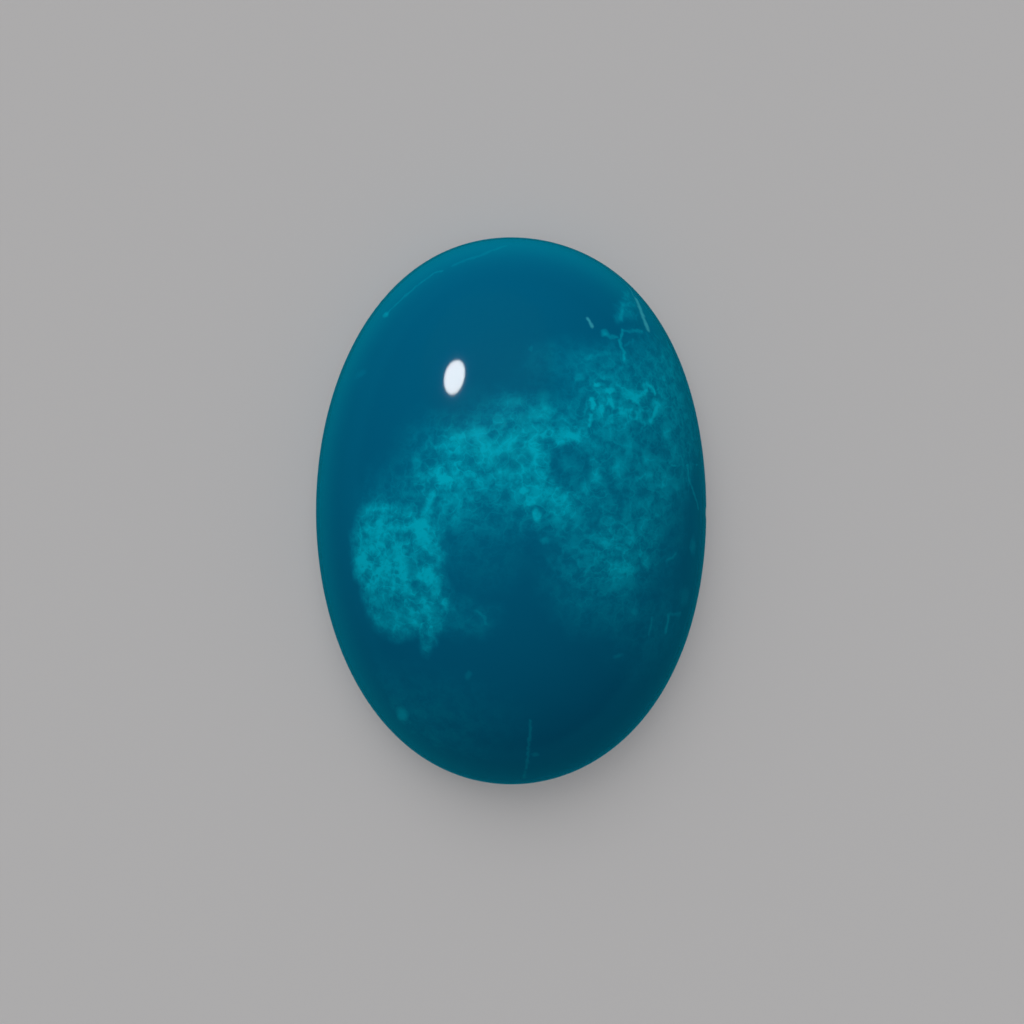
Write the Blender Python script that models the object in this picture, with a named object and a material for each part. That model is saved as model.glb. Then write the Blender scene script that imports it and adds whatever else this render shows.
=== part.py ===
"""An oval turquoise cabochon: one polished stone with a high dome and a flat underside.

The stone lies on its underside, dome up. The origin is the centre of the underside, +Y runs
along the length, +X across the width and +Z up through the dome. Sizes are in metres.
"""

import math

import bmesh
import bpy
from mathutils import Vector

MM = 0.001

# Driving dimensions
LENGTH = 18.0 * MM
WIDTH = 12.85 * MM
HEIGHT = 6.0 * MM
BEVEL_WIDTH = 0.35 * MM  # the ground bevel that keeps the underside's edge from chipping
BEVEL_HEIGHT = 0.30 * MM
BAND_TOP = 1.15 * MM  # height where the steep band ends and the dome begins
BAND_LEAN = 0.10 * MM  # how far the band leans in between the bevel and the dome
DOME_START = math.radians(4)  # the dome's ellipse is entered here, already leaning in as the band does

# The hand-cut outline bulges past a true oval between its four tips. These are shares of the
# radius: the mean bulge, and what the right, the top and the rising diagonal add to it.
BULGE = 0.019
BULGE_RIGHT = 0.007
BULGE_TOP = 0.004
BULGE_DIAGONAL = 0.002

# Fineness of the faceted solid
SEGMENTS = 96
DOME_RINGS = 15
SHARP_ANGLE = math.radians(30)  # edges that turn more than this are shaded as edges
TANGENT_STEP = 1e-3  # radians either side of a point, to read the outline's direction there

# The stone's mean colour (linear) and polish
STONE_COLOUR = (0.003, 0.095, 0.165, 1.0)
STONE_ROUGHNESS = 0.12


def clear_scene():
    """Remove every object that the file opened with."""
    for obj in list(bpy.data.objects):
        bpy.data.objects.remove(obj)


def outline_point(turn):
    """The girdle's outline at an angle, seen from above."""
    bulge = BULGE + BULGE_RIGHT * math.cos(turn) + BULGE_TOP * math.sin(turn)
    bulge += BULGE_DIAGONAL * math.sin(2 * turn)
    radius = 1 + bulge * math.sin(2 * turn) ** 2
    return Vector((WIDTH / 2 * radius * math.cos(turn), LENGTH / 2 * radius * math.sin(turn), 0))


def outline_normal(turn):
    """The outward direction, square to the outline, at an angle."""
    along = outline_point(turn + TANGENT_STEP) - outline_point(turn - TANGENT_STEP)
    return Vector((along.y, -along.x, 0)).normalized()


def ring_points(inset, share, height):
    """One level ring of the stone.

    The outline is drawn in by inset, then shrunk about the stone's axis to share of its size.
    """
    points = []
    for k in range(SEGMENTS):
        turn = 2 * math.pi * k / SEGMENTS
        edge = outline_point(turn) - inset * outline_normal(turn)
        points.append(edge * share + Vector((0, 0, height)))
    return points


def stone_rings():
    """The rings from the underside's edge up to the last one below the apex."""
    rings = [
        ring_points(BEVEL_WIDTH, 1, 0),
        ring_points(0, 1, BEVEL_HEIGHT),
        ring_points(BAND_LEAN, 1, BAND_TOP),
    ]
    for k in range(1, DOME_RINGS):
        rise = DOME_START + (math.pi / 2 - DOME_START) * k / DOME_RINGS
        share = math.cos(rise) / math.cos(DOME_START)
        climbed = (math.sin(rise) - math.sin(DOME_START)) / (1 - math.sin(DOME_START))
        rings.append(ring_points(BAND_LEAN, share, BAND_TOP + (HEIGHT - BAND_TOP) * climbed))
    return rings


def stone_mesh():
    """The closed surface: flat underside, bevel, band and dome."""
    work = bmesh.new()
    loops = [[work.verts.new(point) for point in ring] for ring in stone_rings()]
    for low, high in zip(loops, loops[1:]):
        for k in range(SEGMENTS):
            after = (k + 1) % SEGMENTS
            work.faces.new((low[k], low[after], high[after], high[k]))
    centre = work.verts.new((0, 0, 0))
    apex = work.verts.new((0, 0, HEIGHT))
    for k in range(SEGMENTS):
        after = (k + 1) % SEGMENTS
        work.faces.new((centre, loops[0][after], loops[0][k]))
        work.faces.new((apex, loops[-1][k], loops[-1][after]))
    mesh = bpy.data.meshes.new("cabochon")
    work.to_mesh(mesh)
    work.free()
    mesh.shade_smooth()
    mesh.set_sharp_from_angle(angle=SHARP_ANGLE)
    return mesh


def turquoise_material():
    """Polished blue-green turquoise."""
    material = bpy.data.materials.new("turquoise")
    material.use_nodes = True
    shader = material.node_tree.nodes["Principled BSDF"]
    shader.inputs["Base Color"].default_value = STONE_COLOUR
    shader.inputs["Roughness"].default_value = STONE_ROUGHNESS
    shader.inputs["Metallic"].default_value = 0.0
    return material


def build_cabochon():
    """The whole object, one solid stone."""
    mesh = stone_mesh()
    mesh.materials.append(turquoise_material())
    stone = bpy.data.objects.new("cabochon", mesh)
    bpy.context.scene.collection.objects.link(stone)
    return stone


def main():
    """Build the cabochon in an empty scene."""
    clear_scene()
    build_cabochon()


main()
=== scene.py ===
"""The looks of an oval turquoise cabochon that lies on its flat back, dome up, under soft light.

Lengths are in metres, as in the frame, apart from the stone's markings, which are in
millimetres from its centre: x across the width and y along the length, seen from above.
"""

import logging
import math
from dataclasses import dataclass
from enum import Enum

import bpy
from mathutils import Euler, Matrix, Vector


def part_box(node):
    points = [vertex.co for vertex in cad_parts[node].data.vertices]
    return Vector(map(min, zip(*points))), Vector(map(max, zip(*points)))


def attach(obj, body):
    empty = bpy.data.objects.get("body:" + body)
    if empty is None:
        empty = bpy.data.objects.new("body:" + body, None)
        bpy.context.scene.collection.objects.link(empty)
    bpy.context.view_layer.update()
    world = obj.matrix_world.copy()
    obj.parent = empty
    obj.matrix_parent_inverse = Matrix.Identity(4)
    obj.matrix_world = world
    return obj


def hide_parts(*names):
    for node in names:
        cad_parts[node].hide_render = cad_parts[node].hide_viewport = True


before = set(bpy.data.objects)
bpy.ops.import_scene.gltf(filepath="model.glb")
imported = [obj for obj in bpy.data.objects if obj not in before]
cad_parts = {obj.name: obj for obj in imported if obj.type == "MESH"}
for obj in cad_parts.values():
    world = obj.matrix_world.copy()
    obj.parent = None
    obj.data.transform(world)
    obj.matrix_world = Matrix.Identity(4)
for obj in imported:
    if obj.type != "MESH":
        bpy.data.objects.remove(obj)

MM = 0.001
NODE = "cabochon"
BODY = "root"
MERGE_DISTANCE = 1e-7
OUTLINE_STEP = 0.001
HALF = (0.5, 0.5, 0.5)

Value = float | int | tuple | bpy.types.NodeSocket | bpy.types.Material
Key = int | str

log = logging.getLogger("cabochon")


class NodeGraph:
    """One node tree being wired. Its methods add nodes and return the sockets to wire on."""

    def __init__(self, tree: bpy.types.NodeTree) -> None:
        """Wires the given tree.

        Args:
            tree: a shader, world or geometry node tree.
        """
        self.tree = tree

    def node(self, kind: str, inputs: dict[Key, Value] | None = None, **settings: object) -> bpy.types.Node:
        """Adds a node.

        Args:
            kind: the node's type name.
            inputs: input name or number to the value or socket that feeds it.
            **settings: the node's own options.

        Returns:
            The new node.
        """
        made = self.tree.nodes.new(kind)
        for name, setting in settings.items():
            setattr(made, name, setting)
        for key, value in (inputs or {}).items():
            if isinstance(value, bpy.types.NodeSocket):
                self.tree.links.new(value, made.inputs[key])
            else:
                made.inputs[key].default_value = value
        return made

    def math(self, operation: str, *values: Value, clamp: bool = False) -> bpy.types.NodeSocket:
        """Adds a Math node and returns its result.

        Args:
            operation: the node's operation.
            *values: its operands.
            clamp: whether the result is held between 0 and 1.

        Returns:
            The result's socket.
        """
        inputs = dict(enumerate(values))
        return self.node("ShaderNodeMath", inputs, operation=operation, use_clamp=clamp).outputs[0]

    def vector(self, operation: str, *values: Value) -> bpy.types.NodeSocket:
        """Adds a Vector Math node whose result is a vector.

        Args:
            operation: the node's operation.
            *values: its operands.

        Returns:
            The result's socket.
        """
        made = self.node("ShaderNodeVectorMath", dict(enumerate(values)), operation=operation)
        return made.outputs["Vector"]

    def measure(self, operation: str, *values: Value) -> bpy.types.NodeSocket:
        """Adds a Vector Math node whose result is a number, such as LENGTH or DOT_PRODUCT.

        Args:
            operation: the node's operation.
            *values: its operands.

        Returns:
            The result's socket.
        """
        made = self.node("ShaderNodeVectorMath", dict(enumerate(values)), operation=operation)
        return made.outputs["Value"]

    def scaled(self, vector: Value, factor: Value) -> bpy.types.NodeSocket:
        """Multiplies a vector by a number.

        Args:
            vector: the vector.
            factor: the number.

        Returns:
            The scaled vector's socket.
        """
        made = self.node("ShaderNodeVectorMath", {0: vector, "Scale": factor}, operation="SCALE")
        return made.outputs["Vector"]

    def combine(self, x: Value = 0.0, y: Value = 0.0, z: Value = 0.0) -> bpy.types.NodeSocket:
        """Makes a vector of three numbers."""
        return self.node("ShaderNodeCombineXYZ", {0: x, 1: y, 2: z}).outputs[0]

    def separate(self, vector: Value) -> tuple[bpy.types.NodeSocket, ...]:
        """Splits a vector into its three numbers."""
        return tuple(self.node("ShaderNodeSeparateXYZ", {0: vector}).outputs)

    def remap(self, value: Value, start: Value, end: Value, low: Value = 0.0, high: Value = 1.0,
              smooth: bool = True) -> bpy.types.NodeSocket:
        """Carries a number from one range to another and holds it there.

        Args:
            value: the number.
            start: the value that becomes low.
            end: the value that becomes high.
            low: the result at start.
            high: the result at end.
            smooth: whether the change eases in and out.

        Returns:
            The result's socket.
        """
        kind = "SMOOTHSTEP" if smooth else "LINEAR"
        inputs = {0: value, 1: start, 2: end, 3: low, 4: high}
        return self.node("ShaderNodeMapRange", inputs, interpolation_type=kind, clamp=not smooth).outputs[0]

    def noise(self, point: Value, scale: float, detail: float = 2.0, roughness: float = 0.5,
              output: str = "Fac") -> bpy.types.NodeSocket:
        """Adds a Noise Texture.

        Args:
            point: where it is read.
            scale: lumps in each unit of length.
            detail: how many finer layers are added.
            roughness: how strong those are.
            output: Fac, or Color for three independent values.

        Returns:
            The noise's socket.
        """
        inputs = {"Vector": point, "Scale": scale, "Detail": detail, "Roughness": roughness}
        return self.node("ShaderNodeTexNoise", inputs).outputs[output]

    def mix(self, factor: Value, first: Value, second: Value) -> bpy.types.NodeSocket:
        """Blends two colours.

        Args:
            factor: 0 for the first, 1 for the second.
            first: a colour.
            second: a colour.

        Returns:
            The blend's socket.
        """
        return self.node("ShaderNodeMix", {0: factor, 6: first, 7: second}, data_type="RGBA").outputs[2]


@dataclass(frozen=True)
class Chip:
    """A small nick in the stone's edge, in metres."""

    place: tuple[float, float, float] = (6.43 * MM, -0.06 * MM, 0.45 * MM)
    reach: float = 0.22 * MM
    depth: float = 0.07 * MM


@dataclass
class CabochonStone:
    """The stone: flat back, ground bevel, steep band and polished dome, as in the frame."""

    width: float
    length: float
    height: float
    bevel_width: float = 0.35 * MM
    bevel_height: float = 0.30 * MM
    band_top: float = 1.15 * MM
    band_lean: float = 0.10 * MM
    dome_start: float = math.radians(4)
    bulge: float = 0.019
    bulge_right: float = 0.007
    bulge_top: float = 0.004
    bulge_diagonal: float = 0.002
    edge_round: float = 0.07 * MM
    hand_waver: float = 0.020 * MM
    waver_length: float = 3.4 * MM
    segments: int = 448
    back_rows: int = 22
    round_rows: int = 5
    bevel_rows: int = 4
    side_rows: int = 7
    dome_rows: int = 112

    def profile(self) -> list[Vector]:
        """The stone's section, from the centre of the back to the apex.

        Returns:
            Points that hold the share of the outline, the inset from it and the height.
        """
        back_edge = Vector((self.bevel_width, 0))
        shoulder = Vector((0, self.bevel_height))
        band_end = Vector((self.band_lean, self.band_top))
        inward = back_edge + Vector((self.bevel_width, 0))
        lower = self.rounded(inward, back_edge, shoulder)
        upper = self.rounded(back_edge, shoulder, band_end)
        rows = [Vector((k / self.back_rows, lower[0].x, 0)) for k in range(self.back_rows)]
        rows += [Vector((1, p.x, p.y)) for p in lower]
        for k in range(1, self.bevel_rows):
            rows.append(Vector((1, *lower[-1].lerp(upper[0], k / self.bevel_rows))))
        rows += [Vector((1, p.x, p.y)) for p in upper]
        rows += [Vector((1, *upper[-1].lerp(band_end, k / self.side_rows))) for k in range(1, self.side_rows)]
        for k in range(self.dome_rows + 1):
            rise = self.dome_start + (math.pi / 2 - self.dome_start) * k / self.dome_rows
            share = max(0.0, math.cos(rise) / math.cos(self.dome_start))
            climbed = (math.sin(rise) - math.sin(self.dome_start)) / (1 - math.sin(self.dome_start))
            height = self.band_top + (self.height - self.band_top) * climbed
            rows.append(Vector((share, self.band_lean, height)))
        return rows

    def rounded(self, before: Vector, corner: Vector, after: Vector) -> list[Vector]:
        """A corner of the section, worn round.

        Args:
            before: a point on the way into the corner.
            corner: the sharp corner.
            after: a point on the way out of it.

        Returns:
            Points along a curve that touches both sides.
        """
        start = corner + (before - corner).normalized() * self.edge_round
        end = corner + (after - corner).normalized() * self.edge_round
        points = []
        for k in range(self.round_rows + 1):
            t = k / self.round_rows
            points.append(start * (1 - t) ** 2 + corner * 2 * t * (1 - t) + end * t * t)
        return points

    def shape_tree(self) -> bpy.types.NodeTree:
        """Geometry Nodes that turn the section round the hand-cut outline.

        Returns:
            The tree. Its named inputs are the stone's sizes and its finish.
        """
        tree = bpy.data.node_groups.new("cabochon_shape", "GeometryNodeTree")
        face = tree.interface
        face.new_socket("Section", in_out="INPUT", socket_type="NodeSocketGeometry")
        for name in ("Half Width", "Half Length", "Bulge", "Bulge Right", "Bulge Top", "Bulge Diagonal",
                     "Waver", "Waver Length", "Band Top", "Chip Reach", "Chip Depth"):
            face.new_socket(name, in_out="INPUT", socket_type="NodeSocketFloat")
        face.new_socket("Chip Place", in_out="INPUT", socket_type="NodeSocketVector")
        face.new_socket("Segments", in_out="INPUT", socket_type="NodeSocketInt")
        face.new_socket("Finish", in_out="INPUT", socket_type="NodeSocketMaterial")
        face.new_socket("Stone", in_out="OUTPUT", socket_type="NodeSocketGeometry")
        graph = NodeGraph(tree)
        sizes = graph.node("NodeGroupInput").outputs

        rows = graph.node("GeometryNodeAttributeDomainSize", {0: sizes["Section"]}).outputs["Point Count"]
        around = graph.math("ADD", sizes["Segments"], 1.0)
        counts = {"Size X": 1.0, "Size Y": 1.0, "Vertices X": around, "Vertices Y": rows}
        grid = graph.node("GeometryNodeMeshGrid", counts)
        here = graph.separate(graph.node("GeometryNodeInputPosition").outputs[0])
        turn = graph.math("MULTIPLY", graph.math("ADD", here[0], 0.5), 2 * math.pi)
        last_row = graph.math("SUBTRACT", rows, 1.0)
        row = graph.math("ROUND", graph.math("MULTIPLY", graph.math("ADD", here[1], 0.5), last_row))
        place = graph.node("GeometryNodeInputPosition").outputs[0]
        section = graph.node(
            "GeometryNodeSampleIndex", {"Geometry": sizes["Section"], "Value": place, "Index": row},
            data_type="FLOAT_VECTOR",
        ).outputs[0]
        share, inset, height = graph.separate(section)

        edge = self.outline(graph, sizes, turn)
        ahead = self.outline(graph, sizes, graph.math("ADD", turn, OUTLINE_STEP))
        behind = self.outline(graph, sizes, graph.math("SUBTRACT", turn, OUTLINE_STEP))
        along = graph.separate(graph.vector("SUBTRACT", ahead, behind))
        outward = graph.vector("NORMALIZE", graph.combine(along[1], graph.math("MULTIPLY", along[0], -1.0)))
        drawn_in = graph.vector("SUBTRACT", edge, graph.scaled(outward, inset))
        target = graph.vector("ADD", graph.scaled(drawn_in, share), graph.combine(z=height))
        shaped = graph.node("GeometryNodeSetPosition", {"Geometry": grid.outputs[0], "Position": target})
        merging = {"Geometry": shaped.outputs[0], "Distance": MERGE_DISTANCE}
        closed = graph.node("GeometryNodeMergeByDistance", merging)

        wavered = self.wavered(graph, sizes, closed.outputs[0])
        chipped = self.chipped(graph, sizes, wavered)
        smooth = graph.node("GeometryNodeSetShadeSmooth", {"Geometry": chipped}).outputs[0]
        real = graph.node("GeometryNodeRealizeInstances", {"Geometry": smooth}).outputs[0]
        dressed = graph.node("GeometryNodeSetMaterial", {"Geometry": real, "Material": sizes["Finish"]})
        graph.node("NodeGroupOutput", {0: dressed.outputs[0]})
        return tree

    def outline(self, graph: NodeGraph, sizes: bpy.types.NodeOutputs, turn: Value) -> bpy.types.NodeSocket:
        """The girdle's outline at an angle, seen from above.

        Args:
            graph: the tree being wired.
            sizes: the tree's inputs.
            turn: the angle.

        Returns:
            The outline's point.
        """
        cosine, sine = graph.math("COSINE", turn), graph.math("SINE", turn)
        double = graph.math("SINE", graph.math("MULTIPLY", turn, 2.0))
        bulge = graph.math("MULTIPLY_ADD", sizes["Bulge Right"], cosine, sizes["Bulge"])
        bulge = graph.math("MULTIPLY_ADD", sizes["Bulge Top"], sine, bulge)
        bulge = graph.math("MULTIPLY_ADD", sizes["Bulge Diagonal"], double, bulge)
        radius = graph.math("MULTIPLY_ADD", graph.math("MULTIPLY", double, double), bulge, 1.0)
        x = graph.math("MULTIPLY", graph.math("MULTIPLY", sizes["Half Width"], radius), cosine)
        y = graph.math("MULTIPLY", graph.math("MULTIPLY", sizes["Half Length"], radius), sine)
        return graph.combine(x, y)

    def wavered(self, graph: NodeGraph, sizes: bpy.types.NodeOutputs, stone: Value) -> bpy.types.NodeSocket:
        """Makes the dome a little uneven, as a stone polished by hand is.

        Args:
            graph: the tree being wired.
            sizes: the tree's inputs.
            stone: the even stone.

        Returns:
            The uneven stone.
        """
        point = graph.node("GeometryNodeInputPosition").outputs[0]
        height = graph.separate(point)[2]
        on_dome = graph.remap(height, sizes["Band Top"], graph.math("MULTIPLY", sizes["Band Top"], 2.0))
        scale = graph.math("DIVIDE", 1.0, sizes["Waver Length"])
        lumps = graph.noise(graph.scaled(point, scale), 1.0, detail=1.0)
        lift = graph.math("SUBTRACT", lumps, 0.5)
        push = graph.math("MULTIPLY", lift, graph.math("MULTIPLY", on_dome, sizes["Waver"]))
        normal = graph.node("GeometryNodeInputNormal").outputs[0]
        offset = graph.scaled(normal, push)
        return graph.node("GeometryNodeSetPosition", {"Geometry": stone, "Offset": offset}).outputs[0]

    def chipped(self, graph: NodeGraph, sizes: bpy.types.NodeOutputs, stone: Value) -> bpy.types.NodeSocket:
        """Takes the small nick out of the edge.

        Args:
            graph: the tree being wired.
            sizes: the tree's inputs.
            stone: the whole stone.

        Returns:
            The stone with its nick.
        """
        point = graph.node("GeometryNodeInputPosition").outputs[0]
        away = graph.measure("DISTANCE", point, sizes["Chip Place"])
        bite = graph.remap(away, sizes["Chip Reach"], 0.0)
        push = graph.math("MULTIPLY", graph.math("MULTIPLY", bite, sizes["Chip Depth"]), -1.0)
        normal = graph.node("GeometryNodeInputNormal").outputs[0]
        offset = graph.scaled(normal, push)
        return graph.node("GeometryNodeSetPosition", {"Geometry": stone, "Offset": offset}).outputs[0]

    def build(self, finish: bpy.types.Material, chip: Chip) -> bpy.types.Object:
        """Makes the stone as one plain closed mesh.

        Args:
            finish: the stone's material.
            chip: the nick in its edge.

        Returns:
            The stone.
        """
        section = bpy.data.meshes.new("section")
        points = self.profile()
        section.from_pydata(points, [(k, k + 1) for k in range(len(points) - 1)], [])
        maker = bpy.data.objects.new("section", section)
        bpy.context.scene.collection.objects.link(maker)
        tree = self.shape_tree()
        values = {
            "Half Width": self.width / 2, "Half Length": self.length / 2,
            "Bulge": self.bulge, "Bulge Right": self.bulge_right,
            "Bulge Top": self.bulge_top, "Bulge Diagonal": self.bulge_diagonal,
            "Waver": self.hand_waver, "Waver Length": self.waver_length, "Band Top": self.band_top,
            "Chip Reach": chip.reach, "Chip Depth": chip.depth, "Chip Place": chip.place,
            "Segments": self.segments, "Finish": finish,
        }
        turner = maker.modifiers.new("turner", "NODES")
        turner.node_group = tree
        for socket in tree.interface.items_tree:
            if socket.name in values:
                turner[socket.identifier] = values[socket.name]
        ready = maker.evaluated_get(bpy.context.evaluated_depsgraph_get())
        mesh = bpy.data.meshes.new_from_object(ready)
        maker.modifiers.remove(turner)
        bpy.data.objects.remove(maker)
        stone = bpy.data.objects.new("turquoise_cabochon", mesh)
        bpy.context.scene.collection.objects.link(stone)
        return stone


@dataclass(frozen=True)
class Patch:
    """A soft oval marking, placed as it is seen from above, in millimetres."""

    x: float
    y: float
    across: float
    along: float
    level: float
    soft: float = 0.5
    turn: float = 0.0


@dataclass(frozen=True)
class Streak:
    """A thin marking along a line of places seen from above, in millimetres."""

    path: tuple[tuple[float, float], ...]
    width: float
    level: float


# The widest and softest clouds
HAZES = (
    Patch(0.4, 1.7, 2.6, 1.9, 0.24),
    Patch(3.5, 0.7, 2.1, 2.4, 0.24),
    Patch(3.8, 3.8, 1.8, 1.5, 0.22),
    Patch(5.6, 3.4, 0.9, 2.4, 0.26),
    Patch(-3.2, 0.3, 1.6, 1.2, 0.20, 0.8, 30.0),
    Patch(-2.2, 0.6, 1.0, 1.1, 0.22, 0.7),
    Patch(-1.2, -0.7, 1.5, 1.4, 0.12, 0.8),
    Patch(2.9, -2.0, 1.4, 1.5, 0.22, 0.7),
    Patch(4.6, -0.8, 1.2, 1.0, 0.16, 0.6),
    Patch(-1.6, -3.5, 1.1, 0.6, 0.13, 0.5),
    Patch(-3.4, -7.0, 2.6, 1.4, 0.11, 0.9),
    Patch(2.2, 4.9, 1.5, 0.6, 0.12, 0.8),
    Patch(4.7, -3.7, 1.4, 1.4, 0.09, 0.8),
    Patch(-2.3, 2.3, 1.0, 0.8, 0.14, 0.8),
    Patch(3.9, 6.9, 0.35, 0.6, 0.26, 0.7),
    Patch(4.9, 5.2, 0.8, 1.2, 0.18, 0.8),
)

# The brighter clouds within them
CLOUDS = (
    Patch(-4.35, -0.95, 0.90, 1.15, 0.46, 0.30),
    Patch(-4.35, -1.95, 0.95, 0.75, 0.44, 0.25),
    Patch(-3.05, -1.35, 0.75, 1.20, 0.42, 0.30),
    Patch(-3.75, -2.95, 1.15, 1.10, 0.42, 0.25, -30.0),
    Patch(-2.75, -2.95, 0.70, 0.95, 0.40, 0.30),
    Patch(-2.78, -4.15, 0.28, 0.50, 0.36, 0.50),
    Patch(-0.10, 1.60, 1.00, 1.20, 0.18, 0.55),
    Patch(0.75, 1.00, 0.60, 1.50, 0.17, 0.50),
    Patch(1.45, 0.15, 0.75, 0.75, 0.18, 0.50),
    Patch(0.60, 2.85, 1.60, 0.75, 0.12, 0.50),
    Patch(-1.50, 2.20, 0.90, 0.65, 0.18, 0.60),
    Patch(1.90, 2.50, 0.75, 0.32, 0.20, 0.50),
    Patch(-2.10, 1.05, 0.90, 0.35, 0.20, 0.60, 10.0),
    Patch(3.75, 3.55, 1.20, 0.75, 0.22, 0.35),
    Patch(4.70, 1.10, 0.70, 0.55, 0.14, 0.60),
    Patch(3.40, -1.55, 0.80, 0.75, 0.14, 0.60, 40.0),
)

# Gaps in the clouds, where the body shows
HOLLOWS = (
    Patch(1.98, 1.45, 0.66, 0.76, 0.45, 0.12),
    Patch(1.48, 1.60, 0.18, 0.42, 0.35, 0.50, 15.0),
    Patch(-3.93, -0.38, 0.12, 0.12, 0.35),
    Patch(-3.95, -1.50, 0.24, 0.18, 0.42, 0.6, 30.0),
    Patch(-3.50, -0.95, 0.20, 0.22, 0.28, 0.8),
    Patch(-3.26, -2.10, 0.16, 0.40, 0.38),
    Patch(-3.08, -2.48, 0.24, 0.20, 0.42),
    Patch(-4.40, -1.75, 0.14, 0.12, 0.30),
    Patch(-2.95, -3.52, 0.20, 0.15, 0.45),
    Patch(-2.47, -3.04, 0.09, 0.12, 0.50),
    Patch(-0.60, 2.52, 0.16, 0.14, 0.32),
    Patch(0.22, 2.10, 0.20, 0.13, 0.38),
    Patch(0.55, 1.80, 0.18, 0.20, 0.36),
    Patch(1.60, 2.86, 0.42, 0.12, 0.36),
    Patch(1.20, 2.30, 0.18, 0.14, 0.32),
    Patch(0.80, 0.10, 0.22, 0.08, 0.38),
    Patch(1.20, -0.15, 0.18, 0.12, 0.32),
    Patch(4.57, 3.75, 0.11, 0.20, 0.62),
    Patch(4.40, 3.10, 0.13, 0.15, 0.52),
    Patch(4.07, 2.82, 0.20, 0.20, 0.48, 0.3),
    Patch(3.45, 3.78, 0.15, 0.11, 0.42),
    Patch(3.11, 3.15, 0.09, 0.20, 0.45),
    Patch(3.85, 3.55, 0.18, 0.08, 0.35),
    Patch(5.25, -0.85, 0.32, 0.50, 0.55, 0.7),
    Patch(2.60, -0.40, 0.28, 0.38, 0.28),
    Patch(3.70, -1.05, 0.15, 0.24, 0.30),
    Patch(3.20, 0.90, 0.20, 0.18, 0.28),
    Patch(0.20, -3.70, 0.45, 0.55, 0.30, 0.7),
)

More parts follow.
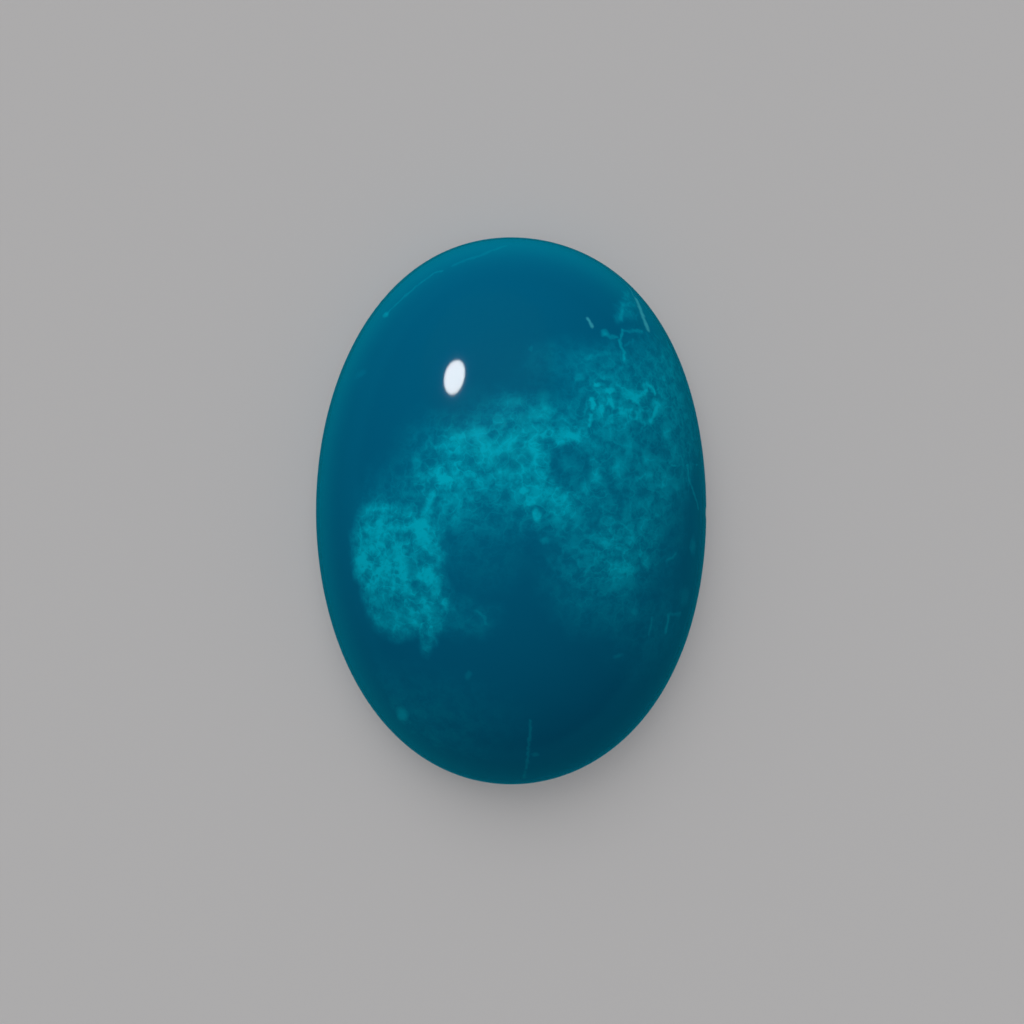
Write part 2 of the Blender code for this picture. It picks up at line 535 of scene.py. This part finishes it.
# Small pale flecks
SPOTS = (
    Patch(-4.28, -0.73, 0.34, 0.28, 0.29, 0.7),
    Patch(-3.03, -0.72, 0.18, 0.24, 0.31, 0.6),
    Patch(-3.00, -1.20, 0.18, 0.18, 0.17, 0.7),
    Patch(-4.88, -1.62, 0.17, 0.20, 0.29, 0.7),
    Patch(-2.68, -2.25, 0.15, 0.26, 0.31, 0.6),
    Patch(-2.50, -2.68, 0.14, 0.14, 0.27, 0.6),
    Patch(-3.00, -2.96, 0.16, 0.10, 0.27, 0.6),
    Patch(-2.60, -3.20, 0.20, 0.16, 0.27, 0.6),
    Patch(-4.60, -1.95, 0.20, 0.14, 0.20, 0.7),
    Patch(-4.20, -1.85, 0.12, 0.12, 0.22, 0.7),
    Patch(-5.08, -2.05, 0.14, 0.16, 0.22, 0.7),
    Patch(-3.78, -2.40, 0.15, 0.20, 0.17, 0.7),
    Patch(-2.25, -2.98, 0.20, 0.10, 0.20, 0.6),
    Patch(-3.90, -3.70, 0.55, 0.30, 0.12, 0.8, -20.0),
    Patch(-1.85, 1.27, 0.16, 0.09, 0.36, 0.6),
    Patch(-1.30, 1.20, 0.12, 0.18, 0.22, 0.7),
    Patch(-3.12, 1.65, 0.16, 0.27, 0.19, 0.6, -10.0),
    Patch(-1.58, 2.15, 0.18, 0.40, 0.29, 0.7),
    Patch(-1.90, 2.18, 0.14, 0.11, 0.29, 0.6),
    Patch(-1.93, 2.36, 0.10, 0.06, 0.42, 0.5),
    Patch(-1.15, 2.55, 0.32, 0.15, 0.29, 0.7, 20.0),
    Patch(-0.35, 2.05, 0.42, 0.26, 0.34, 0.7),
    Patch(-0.05, 2.16, 0.10, 0.12, 0.38, 0.6),
    Patch(-0.65, 1.65, 0.28, 0.14, 0.26, 0.7, -20.0),
    Patch(-0.15, 1.28, 0.28, 0.16, 0.22, 0.7, -15.0),
    Patch(-0.05, 1.10, 0.14, 0.08, 0.22, 0.6),
    Patch(0.80, 1.95, 0.15, 0.34, 0.27, 0.7),
    Patch(0.74, 1.42, 0.11, 0.28, 0.19, 0.7),
    Patch(0.95, 1.15, 0.20, 0.16, 0.39, 0.6),
    Patch(0.42, 0.65, 0.11, 0.10, 0.41, 0.5),
    Patch(0.65, 0.33, 0.17, 0.19, 0.49, 0.5),
    Patch(0.96, 0.31, 0.15, 0.12, 0.31, 0.6),
    Patch(0.85, -0.14, 0.11, 0.22, 0.48, 0.5, 10.0),
    Patch(1.58, 0.12, 0.24, 0.34, 0.22, 0.7),
    Patch(1.10, -0.98, 0.13, 0.10, 0.29, 0.7),
    Patch(0.45, 3.00, 0.18, 0.18, 0.20, 0.7),
    Patch(1.05, 3.22, 0.27, 0.24, 0.27, 0.6),
    Patch(1.05, 3.75, 0.18, 0.20, 0.14, 0.8),
    Patch(0.08, 3.58, 0.26, 0.12, 0.22, 0.7, 10.0),
    Patch(1.70, 3.04, 0.20, 0.11, 0.24, 0.7, -10.0),
    Patch(1.98, 2.45, 0.26, 0.13, 0.29, 0.6),
    Patch(2.74, 1.10, 0.20, 0.15, 0.41, 0.6),
    Patch(2.46, 0.82, 0.15, 0.18, 0.26, 0.7),
    Patch(3.55, 1.38, 0.14, 0.20, 0.29, 0.7),
    Patch(1.83, 1.42, 0.13, 0.13, 0.12, 0.6),
    Patch(2.82, 4.15, 0.11, 0.07, 0.56, 0.5),
    Patch(2.96, 3.33, 0.12, 0.13, 0.36, 0.5),
    Patch(3.25, 3.95, 0.15, 0.09, 0.51, 0.5),
    Patch(3.65, 3.30, 0.14, 0.10, 0.34, 0.6),
    Patch(3.85, 3.85, 0.28, 0.13, 0.26, 0.7),
    Patch(4.12, 3.62, 0.12, 0.10, 0.34, 0.6),
    Patch(4.40, 4.10, 0.12, 0.09, 0.29, 0.6),
    Patch(3.76, 2.65, 0.11, 0.18, 0.22, 0.7),
    Patch(2.25, 4.40, 0.18, 0.12, 0.31, 0.6),
    Patch(3.06, 5.86, 0.12, 0.12, 0.36, 0.5),
    Patch(3.54, 6.35, 0.15, 0.16, 0.22, 0.7),
    Patch(4.45, 1.85, 0.14, 0.25, 0.24, 0.7),
    Patch(3.84, 2.15, 0.11, 0.28, 0.20, 0.7),
    Patch(5.12, 2.50, 0.15, 0.20, 0.22, 0.7),
    Patch(5.42, 0.75, 0.12, 0.14, 0.22, 0.7),
    Patch(5.45, 1.95, 0.20, 0.15, 0.14, 0.7),
    Patch(3.60, -1.86, 0.24, 0.18, 0.26, 0.7),
    Patch(4.47, -1.66, 0.12, 0.20, 0.27, 0.6),
    Patch(5.98, -1.15, 0.09, 0.24, 0.24, 0.7),
    Patch(2.96, -1.00, 0.16, 0.13, 0.19, 0.7),
    Patch(3.30, -0.36, 0.30, 0.12, 0.17, 0.7),
    Patch(5.70, -2.80, 0.16, 0.26, 0.15, 0.7),
    Patch(4.08, -3.32, 0.10, 0.09, 0.17, 0.6),
    Patch(3.50, -4.77, 0.14, 0.06, 0.17, 0.7, 15.0),
    Patch(5.84, 3.97, 0.06, 0.09, 0.26, 0.6),
    Patch(5.74, 3.10, 0.06, 0.13, 0.26, 0.6),
    Patch(-4.95, 4.50, 0.20, 0.08, 0.10, 0.8, 30.0),
    Patch(0.66, 5.34, 0.06, 0.08, 0.14, 0.6),
    Patch(-4.12, 6.45, 0.09, 0.09, 0.41, 0.6),
    Patch(-3.58, -6.70, 0.18, 0.22, 0.44, 0.6),
    Patch(-1.42, -5.40, 0.10, 0.13, 0.17, 0.6),
    Patch(0.78, -8.02, 0.11, 0.07, 0.20, 0.6),
)

# Thin pale veins, and two faint pale lines near the upper-left edge that are a painted reflection
VEINS_AND_REFLECTION_LINES = (
    Streak(((-2.82, -0.02), (-2.60, 0.52)), 0.20, 0.50),
    Streak(((-2.42, 1.00), (-2.02, 1.04)), 0.20, 0.30),
    Streak(((2.69, 3.64), (2.66, 3.40)), 0.13, 0.72),
    Streak(((2.62, 3.16), (2.58, 2.80)), 0.09, 0.60),
    Streak(((3.24, 3.64), (3.36, 3.44)), 0.12, 0.58),
    Streak(((3.36, 3.14), (3.62, 3.22), (3.98, 3.34)), 0.10, 0.30),
    Streak(((4.16, 3.78), (4.45, 3.93)), 0.13, 0.46),
    Streak(((4.48, 4.16), (4.66, 4.06), (4.70, 3.88)), 0.12, 0.60),
    Streak(((4.84, 3.52), (4.72, 3.24)), 0.14, 0.56),
    Streak(((4.70, 3.16), (4.60, 2.94)), 0.11, 0.52),
    Streak(((3.90, 3.08), (4.15, 3.04)), 0.10, 0.24),
    Streak(((3.66, 6.80), (3.60, 6.32)), 0.13, 0.28),
    Streak(((3.66, 5.93), (3.58, 5.60), (3.70, 5.22), (3.71, 4.95)), 0.10, 0.46),
    Streak(((3.76, 5.44), (4.02, 5.60)), 0.08, 0.16),
    Streak(((3.10, 5.84), (3.28, 5.72), (3.46, 5.73)), 0.11, 0.36),
    Streak(((3.66, 5.92), (4.30, 5.90)), 0.10, 0.28),
    Streak(((2.50, 5.04), (3.22, 5.20)), 0.15, 0.18),
    Streak(((1.30, 4.65), (2.05, 4.80)), 0.18, 0.08),
    Streak(((3.28, 4.36), (3.62, 4.70)), 0.16, 0.18),
    Streak(((4.97, 1.12), (5.00, 0.84)), 0.14, 0.34),
    Streak(((4.62, 1.22), (4.12, 1.03)), 0.13, 0.22),
    Streak(((5.30, 1.50), (6.12, 1.52)), 0.07, 0.40),
    Streak(((5.80, 1.50), (5.84, 1.05), (6.04, 0.52), (6.16, 0.10)), 0.09, 0.34),
    Streak(((5.42, -1.42), (5.12, -1.66)), 0.11, 0.22),
    Streak(((5.18, -3.50), (5.08, -3.98)), 0.12, 0.34),
    Streak(((5.16, -3.42), (5.55, -3.40)), 0.12, 0.18),
    Streak(((4.62, -3.55), (4.55, -4.05)), 0.10, 0.20),
    # Painted reflection: the next two faint lines near the upper-left edge stand for a flat panel mirrored in
    # the polish.
    Streak(((-4.10, 6.48), (-3.40, 7.14), (-2.50, 7.84), (-2.30, 7.88)), 0.09, 0.22),
    Streak(((-1.90, 8.08), (-1.00, 8.40), (-0.20, 8.72)), 0.12, 0.14),
    Streak(((-1.15, -3.30), (-0.90, -3.45), (-0.84, -3.72)), 0.08, 0.18),
    Streak(((0.62, -6.90), (0.60, -7.60), (0.50, -8.30), (0.43, -8.78)), 0.09, 0.30),
)

# The palest streaks, at the upper right
PALEST_STREAKS = (
    Streak(((3.43, 7.80), (3.90, 7.32), (4.02, 7.08)), 0.08, 0.30),
    Streak(((4.12, 6.96), (4.22, 6.70), (4.36, 6.34), (4.50, 5.98)), 0.16, 0.62),
    Streak(((2.53, 6.31), (2.66, 6.06)), 0.11, 0.55),
)


@dataclass(frozen=True)
class Sight:
    """The camera's line of sight down to the stone."""

    stone: bpy.types.Object
    eye: Vector
    edge_height: float

    def meets(self, x: float, y: float) -> tuple[Vector, Vector, Vector]:
        """Where the line of sight to a place in the picture meets the stone.

        Args:
            x: millimetres right of the stone's centre, at the height of its edge.
            y: millimetres above the stone's centre, at the height of its edge.

        Returns:
            The point, the stone's outward direction there, and the direction of sight.
        """
        look = (Vector((x * MM, y * MM, self.edge_height)) - self.eye).normalized()
        found, point, normal, _ = self.stone.ray_cast(self.eye, look)
        if not found:
            raise ValueError(f"no stone at ({x}, {y})")
        return point, normal, look

    def place(self, x: float, y: float) -> Vector:
        """The point of the stone at a place in the picture, in millimetres."""
        return self.meets(x, y)[0] / MM

    def mirrored(self, x: float, y: float) -> Vector:
        """The direction that the polish at a place in the picture mirrors to the camera."""
        _, normal, look = self.meets(x, y)
        return look.reflect(normal)


@dataclass(frozen=True)
class Grain:
    """One noise of the finish: lumps in a millimetre, finer layers and their strength."""

    scale: float
    detail: float
    roughness: float

    def at(self, graph: NodeGraph, point: Value, output: str = "Fac") -> bpy.types.NodeSocket:
        """The noise at a point, as one value or as a Color of three."""
        return graph.noise(point, self.scale, self.detail, self.roughness, output)


@dataclass(frozen=True)
class TurquoiseFinish:
    """Deep blue turquoise with pale clouds, veins and flecks, polished by hand, with a painted paler edge and
    two faint lines of painted reflection.
    """

    sight: Sight
    half_width: float
    half_length: float
    body: tuple[float, float, float, float] = (0.0, 0.128, 0.250, 1.0)
    pale: tuple[float, float, float, float] = (0.0, 0.470, 0.630, 1.0)
    white: tuple[float, float, float, float] = (0.06, 0.56, 0.68, 1.0)
    roughness: float = 0.06
    refraction: float = 1.61
    depth: float = 1.5
    depth_margin: float = 0.15
    sway: Grain = Grain(1.1, 3.0, 0.55)
    sway_reach: float = 0.8
    tremble: Grain = Grain(4.5, 1.0, 0.5)
    tremble_reach: float = 0.16
    lump: Grain = Grain(2.3, 4.0, 0.68)
    lump_span: tuple[float, float] = (0.34, 0.66)
    lump_levels: tuple[float, float] = (0.45, 1.5)
    net: Grain = Grain(2.4, 1.0, 0.4)
    net_width: float = 0.05
    net_level: float = 0.45
    # Painted light: a paler ring low on the stone, stronger towards the lamps at the upper left.
    edge_glow_heights: tuple[float, float] = (3.5, 1.8)
    edge_glow_corners: tuple[float, float] = (0.2, 1.3)
    edge_glow_levels: tuple[float, float] = (0.26, 0.08)

    def patch_group(self, turned: bool) -> bpy.types.NodeTree:
        """Nodes that say how clear a point is of one soft oval.

        Args:
            turned: whether the oval is turned from the stone's axes.

        Returns:
            The group, whose result is 1 outside the oval and Inside within it.
        """
        tree = bpy.data.node_groups.new("turned_patch" if turned else "patch", "ShaderNodeTree")
        for name in ("Point", "Stretch", "Shift"):
            tree.interface.new_socket(name, in_out="INPUT", socket_type="NodeSocketVector")
        for name in ("Turn", "Inner", "Outer", "Inside"):
            tree.interface.new_socket(name, in_out="INPUT", socket_type="NodeSocketFloat")
        tree.interface.new_socket("Clear", in_out="OUTPUT", socket_type="NodeSocketFloat")
        graph = NodeGraph(tree)
        given = graph.node("NodeGroupInput").outputs
        point = given["Point"]
        if turned:
            inputs = {"Vector": point, "Angle": given["Turn"]}
            point = graph.node("ShaderNodeVectorRotate", inputs, rotation_type="Z_AXIS").outputs[0]
        share = graph.vector("MULTIPLY_ADD", point, given["Stretch"], given["Shift"])
        away = graph.measure("LENGTH", share)
        clear = graph.remap(away, given["Inner"], given["Outer"], given["Inside"], 1.0)
        graph.node("NodeGroupOutput", {0: clear})
        return tree

    def streak_group(self) -> bpy.types.NodeTree:
        """Nodes that say how clear a point is of one straight streak.

        Returns:
            The group, whose result is 1 away from the streak and Inside on it.
        """
        tree = bpy.data.node_groups.new("streak", "ShaderNodeTree")
        for name in ("Point", "Start", "Span", "Reach"):
            tree.interface.new_socket(name, in_out="INPUT", socket_type="NodeSocketVector")
        for name in ("Width", "Inside"):
            tree.interface.new_socket(name, in_out="INPUT", socket_type="NodeSocketFloat")
        tree.interface.new_socket("Clear", in_out="OUTPUT", socket_type="NodeSocketFloat")
        graph = NodeGraph(tree)
        given = graph.node("NodeGroupInput").outputs
        away = graph.vector("SUBTRACT", given["Point"], given["Start"])
        along = graph.measure("DOT_PRODUCT", away, given["Reach"])
        along = graph.math("MINIMUM", graph.math("MAXIMUM", along, 0.0), 1.0)
        gap = graph.measure("DISTANCE", away, graph.scaled(given["Span"], along))
        graph.node("NodeGroupOutput", {0: graph.remap(gap, 0.0, given["Width"], given["Inside"], 1.0)})
        return tree

    def clear_of_patches(self, graph: NodeGraph, groups: dict[bool, bpy.types.NodeTree], point: Value,
                         patches: tuple[Patch, ...]) -> bpy.types.NodeSocket:
        """How clear a point is of several ovals.

        Args:
            graph: the material being wired.
            groups: the nodes of one oval, unturned and turned.
            point: the point, in millimetres.
            patches: the ovals.

        Returns:
            1 where there is none, and less inside them.
        """
        clear = None
        for patch in patches:
            reach = self.depth * max(patch.across, patch.along) + self.depth_margin
            turn = math.radians(-patch.turn)
            centre = self.sight.place(patch.x, patch.y)
            centre.rotate(Euler((0, 0, turn)))
            stretch = Vector((1 / patch.across, 1 / patch.along, 1 / reach))
            one = graph.node("ShaderNodeGroup", {}, node_tree=groups[patch.turn != 0])
            graph.tree.links.new(point, one.inputs["Point"])
            one.inputs["Stretch"].default_value = stretch
            one.inputs["Shift"].default_value = -centre * stretch
            one.inputs["Turn"].default_value = turn
            one.inputs["Inner"].default_value = 1 - patch.soft
            one.inputs["Outer"].default_value = 1 + patch.soft
            one.inputs["Inside"].default_value = 1 - patch.level
            clear = one.outputs[0] if clear is None else graph.math("MULTIPLY", clear, one.outputs[0])
        return clear

    def clear_of_streaks(self, graph: NodeGraph, group: bpy.types.NodeTree, point: Value,
                         streaks: tuple[Streak, ...]) -> bpy.types.NodeSocket:
        """How clear a point is of several streaks.

        Args:
            graph: the material being wired.
            group: the nodes of one straight streak.
            point: the point, in millimetres.
            streaks: the streaks.

        Returns:
            1 where there is none, and less on them.
        """
        clear = None
        for streak in streaks:
            places = [self.sight.place(x, y) for x, y in streak.path]
            path = None
            for start, end in zip(places, places[1:]):
                span = end - start
                one = graph.node("ShaderNodeGroup", {}, node_tree=group)
                graph.tree.links.new(point, one.inputs["Point"])
                one.inputs["Start"].default_value = start
                one.inputs["Span"].default_value = span
                one.inputs["Reach"].default_value = span / span.length_squared
                one.inputs["Width"].default_value = streak.width
                one.inputs["Inside"].default_value = 1 - streak.level
                path = one.outputs[0] if path is None else graph.math("MINIMUM", path, one.outputs[0])
            clear = path if clear is None else graph.math("MULTIPLY", clear, path)
        return clear

    def paint(self, made: bpy.types.Material) -> None:
        """Wires the stone's material.

        Args:
            made: an empty material.
        """
        made.use_nodes = True
        made.node_tree.nodes.clear()
        graph = NodeGraph(made.node_tree)
        place = graph.node("ShaderNodeTexCoord").outputs["Object"]
        point = graph.scaled(place, 1 / MM)
        colour = self.colour(graph, point)
        shader = graph.node("ShaderNodeBsdfPrincipled", {
            "Base Color": colour, "Roughness": self.roughness, "IOR": self.refraction,
        })
        graph.node("ShaderNodeOutputMaterial", {"Surface": shader.outputs[0]})

    def colour(self, graph: NodeGraph, point: Value) -> bpy.types.NodeSocket:
        """The stone's colour.

        Args:
            graph: the material being wired.
            point: the point, in millimetres.

        Returns:
            The colour's socket.
        """
        patch = {turned: self.patch_group(turned) for turned in (False, True)}
        streak = self.streak_group()
        sway = graph.vector("SUBTRACT", self.sway.at(graph, point, "Color"), HALF)
        tremble = graph.vector("SUBTRACT", self.tremble.at(graph, point, "Color"), HALF)
        swayed = graph.vector("ADD", point, graph.scaled(sway, self.sway_reach))
        near = graph.vector("ADD", point, graph.scaled(tremble, self.tremble_reach))

        lumps = graph.remap(self.lump.at(graph, point), *self.lump_span, *self.lump_levels)
        ridge = graph.math("ABSOLUTE", graph.math("SUBTRACT", self.net.at(graph, near), 0.5))
        net = graph.remap(ridge, self.net_width, 0.0, 0.0, self.net_level)
        haze = graph.math("SUBTRACT", 1.0, self.clear_of_patches(graph, patch, swayed, HAZES))
        cloud = graph.math("SUBTRACT", 1.0, self.clear_of_patches(graph, patch, swayed, CLOUDS))
        soft = graph.math("MULTIPLY", graph.math("ADD", haze, cloud), graph.math("ADD", lumps, net))
        soft = graph.math("MULTIPLY", soft, self.clear_of_patches(graph, patch, near, HOLLOWS))
        # Painted light: the paler edge ring, where light would shine through the thin stone.
        soft = graph.math("MAXIMUM", soft, self.painted_edge_glow(graph, point))
        spots = self.clear_of_patches(graph, patch, near, SPOTS)
        # Pale veins, with two lines of painted reflection among them.
        veins_and_reflections = self.clear_of_streaks(graph, streak, near, VEINS_AND_REFLECTION_LINES)
        crisp = graph.math("SUBTRACT", 1.0, graph.math("MULTIPLY", spots, veins_and_reflections))
        paleness = graph.math("ADD", soft, crisp)
        colour = graph.mix(paleness, self.body, self.pale)
        white = graph.math("SUBTRACT", 1.0, self.clear_of_streaks(graph, streak, near, PALEST_STREAKS))
        return graph.mix(white, colour, self.white)

    def painted_edge_glow(self, graph: NodeGraph, point: Value) -> bpy.types.NodeSocket:
        """Painted light: the paler ring near the edge, standing in for light that shines through the thinning
        stone, painted strongest at the upper left, towards the lamps.

        Args:
            graph: the material being wired.
            point: the point, in millimetres.

        Returns:
            Its paleness.
        """
        x, y, z = graph.separate(point)
        right = graph.math("DIVIDE", x, self.half_width)
        up = graph.math("DIVIDE", y, self.half_length)
        corner = graph.math("SUBTRACT", right, up)
        level = graph.remap(corner, *self.edge_glow_corners, *self.edge_glow_levels)
        return graph.math("MULTIPLY", graph.remap(z, *self.edge_glow_heights), level)


def direction(azimuth: float, elevation: float) -> Vector:
    """The direction at an azimuth, counted from +X towards +Y, and an elevation, in degrees."""
    turn, rise = math.radians(azimuth), math.radians(elevation)
    return Vector((math.cos(turn) * math.cos(rise), math.sin(turn) * math.cos(rise), math.sin(rise)))


class LampWork(Enum):
    """What a lamp does to the stone."""

    WASH = "lights it without showing in its polish"
    GLINT = "shows in its polish without lighting it"


@dataclass(frozen=True)
class Lamp:
    """A far lamp: its irradiance in watts for each square metre, and its width in degrees."""

    name: str
    strength: float
    spread: float
    work: LampWork
    shadow: bool = True


KEY = Lamp("key", 1.55, 60.0, LampWork.WASH, shadow=False)
KEY_WAY = direction(108, 40)
SHADOW_KEY = Lamp("shadow_key", 0.45, 45.0, LampWork.WASH)
SHADOW_KEY_WAY = direction(100, 58)
HOT_LAMP = Lamp("hot_lamp", 0.4, 11.0, LampWork.GLINT)
HOT_SPOT = (-1.84, 4.40)


@dataclass
class Studio:
    """The pale floor, the soft lamps and the camera that looks straight down."""

    stone_width: float
    stone_length: float
    outline_height: float
    frame_pixels: float = 1024.0
    length_pixels: float = 547.1
    stone_centre_pixels: tuple[float, float] = (511.15, 510.85)
    lens: float = 100.0
    sensor: float = 36.0
    floor_side: float = 4.0
    floor_shade: float = 0.63
    backdrop_shade: float = 0.392
    floor_tint: tuple[float, float, float] = (1.0, 0.985, 0.99)
    backdrop_tint: tuple[float, float, float] = (1.0, 0.98, 0.99)
    fill: float = 0.216
    mirrored_sky: tuple[float, float, float, float] = (0.001, 0.004, 0.006, 1.0)
    mirrored_ground: tuple[float, float, float, float] = (0.001, 0.10, 0.14, 1.0)
    horizon: tuple[float, float] = (0.06, -0.12)

    def camera(self) -> bpy.types.Object:
        """Places the camera over the stone, at the distance that gives the photo's framing.

        Returns:
            The camera.
        """
        pixel = self.stone_length / self.length_pixels
        span = self.frame_pixels * pixel
        away = span * self.lens / self.sensor
        middle = self.frame_pixels / 2
        x = (middle - self.stone_centre_pixels[0]) * pixel
        y = (self.stone_centre_pixels[1] - middle) * pixel
        data = bpy.data.cameras.new("camera")
        data.lens = self.lens
        data.sensor_width = self.sensor
        data.clip_start = 1 * MM
        data.clip_end = self.floor_side
        camera = bpy.data.objects.new("camera", data)
        camera.location = (x, y, self.outline_height + away)
        bpy.context.scene.collection.objects.link(camera)
        bpy.context.scene.camera = camera
        return camera

    def floor(self) -> bpy.types.Object:
        """Lays the plain floor.

        Returns:
            The floor.
        """
        half = self.floor_side / 2
        mesh = bpy.data.meshes.new("floor")
        corners = [(-half, -half, 0), (half, -half, 0), (half, half, 0), (-half, half, 0)]
        mesh.from_pydata(corners, [], [(0, 1, 2, 3)])
        floor = bpy.data.objects.new("floor", mesh)
        bpy.context.scene.collection.objects.link(floor)
        paint = bpy.data.materials.new("floor_paint")
        paint.use_nodes = True
        shader = paint.node_tree.nodes["Principled BSDF"]
        floor_colour = (*(self.floor_shade * tint for tint in self.floor_tint), 1.0)
        shader.inputs["Base Color"].default_value = floor_colour
        shader.inputs["Roughness"].default_value = 1.0
        shader.inputs["Specular IOR Level"].default_value = 0.0
        mesh.materials.append(paint)
        floor.visible_glossy = False
        return floor

    def surroundings(self) -> None:
        """Fills the room with soft light, and keeps it out of the stone's polish."""
        world = bpy.data.worlds.new("room")
        bpy.context.scene.world = world
        world.use_nodes = True
        world.node_tree.nodes.clear()
        graph = NodeGraph(world.node_tree)
        path = graph.node("ShaderNodeLightPath").outputs
        backdrop = (*(self.backdrop_shade * tint for tint in self.backdrop_tint), 1.0)
        seen = graph.node("ShaderNodeBackground", {"Color": backdrop}).outputs[0]
        fill = graph.node("ShaderNodeBackground", {"Color": (1, 1, 1, 1), "Strength": self.fill}).outputs[0]
        rise = graph.separate(graph.node("ShaderNodeTexCoord").outputs["Generated"])[2]
        below = graph.remap(rise, *self.horizon)
        mirrored = graph.mix(below, self.mirrored_sky, self.mirrored_ground)
        dark = graph.node("ShaderNodeBackground", {"Color": mirrored}).outputs[0]
        lit = graph.node("ShaderNodeMixShader", {0: path["Is Glossy Ray"], 1: fill, 2: dark})
        shown = graph.node("ShaderNodeMixShader", {0: path["Is Camera Ray"], 1: lit.outputs[0], 2: seen})
        graph.node("ShaderNodeOutputWorld", {"Surface": shown.outputs[0]})

    def hang(self, lamp: Lamp, way: Vector) -> bpy.types.Object:
        """Hangs a far lamp.

        Args:
            lamp: the lamp.
            way: the direction from the stone to it.

        Returns:
            The lamp's object.
        """
        data = bpy.data.lights.new(lamp.name, "SUN")
        data.energy = lamp.strength
        data.angle = math.radians(lamp.spread)
        data.use_shadow = lamp.shadow
        hung = bpy.data.objects.new(lamp.name, data)
        hung.rotation_mode = "QUATERNION"
        hung.rotation_quaternion = (-way).to_track_quat("-Z", "Y")
        hung.visible_glossy = lamp.work is not LampWork.WASH
        hung.visible_diffuse = lamp.work is not LampWork.GLINT
        bpy.context.scene.collection.objects.link(hung)
        return hung


def main() -> None:
    """Builds the stone and its studio."""
    logging.basicConfig(level=logging.INFO, format="%(message)s")
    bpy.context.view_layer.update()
    low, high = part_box(NODE)
    sizes = CabochonStone(width=high.x - low.x, length=high.y - low.y, height=high.z - low.z)
    polish = bpy.data.materials.new("polished_turquoise")
    stone = sizes.build(polish, Chip())
    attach(stone, BODY)
    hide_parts(NODE)
    log.info("stone: %d faces", len(stone.data.polygons))

    studio = Studio(sizes.width, sizes.length, sizes.bevel_height)
    camera = studio.camera()
    studio.floor()
    studio.surroundings()
    bpy.context.view_layer.update()
    sight = Sight(stone, camera.location.copy(), sizes.bevel_height)
    TurquoiseFinish(sight, sizes.width / 2 / MM, sizes.length / 2 / MM).paint(polish)
    log.info("finish: %d nodes", len(polish.node_tree.nodes))

    studio.hang(KEY, KEY_WAY)
    studio.hang(SHADOW_KEY, SHADOW_KEY_WAY)
    studio.hang(HOT_LAMP, sight.mirrored(*HOT_SPOT))

    bpy.context.scene.view_settings.view_transform = "Standard"


if __name__ == "__main__":
    main()
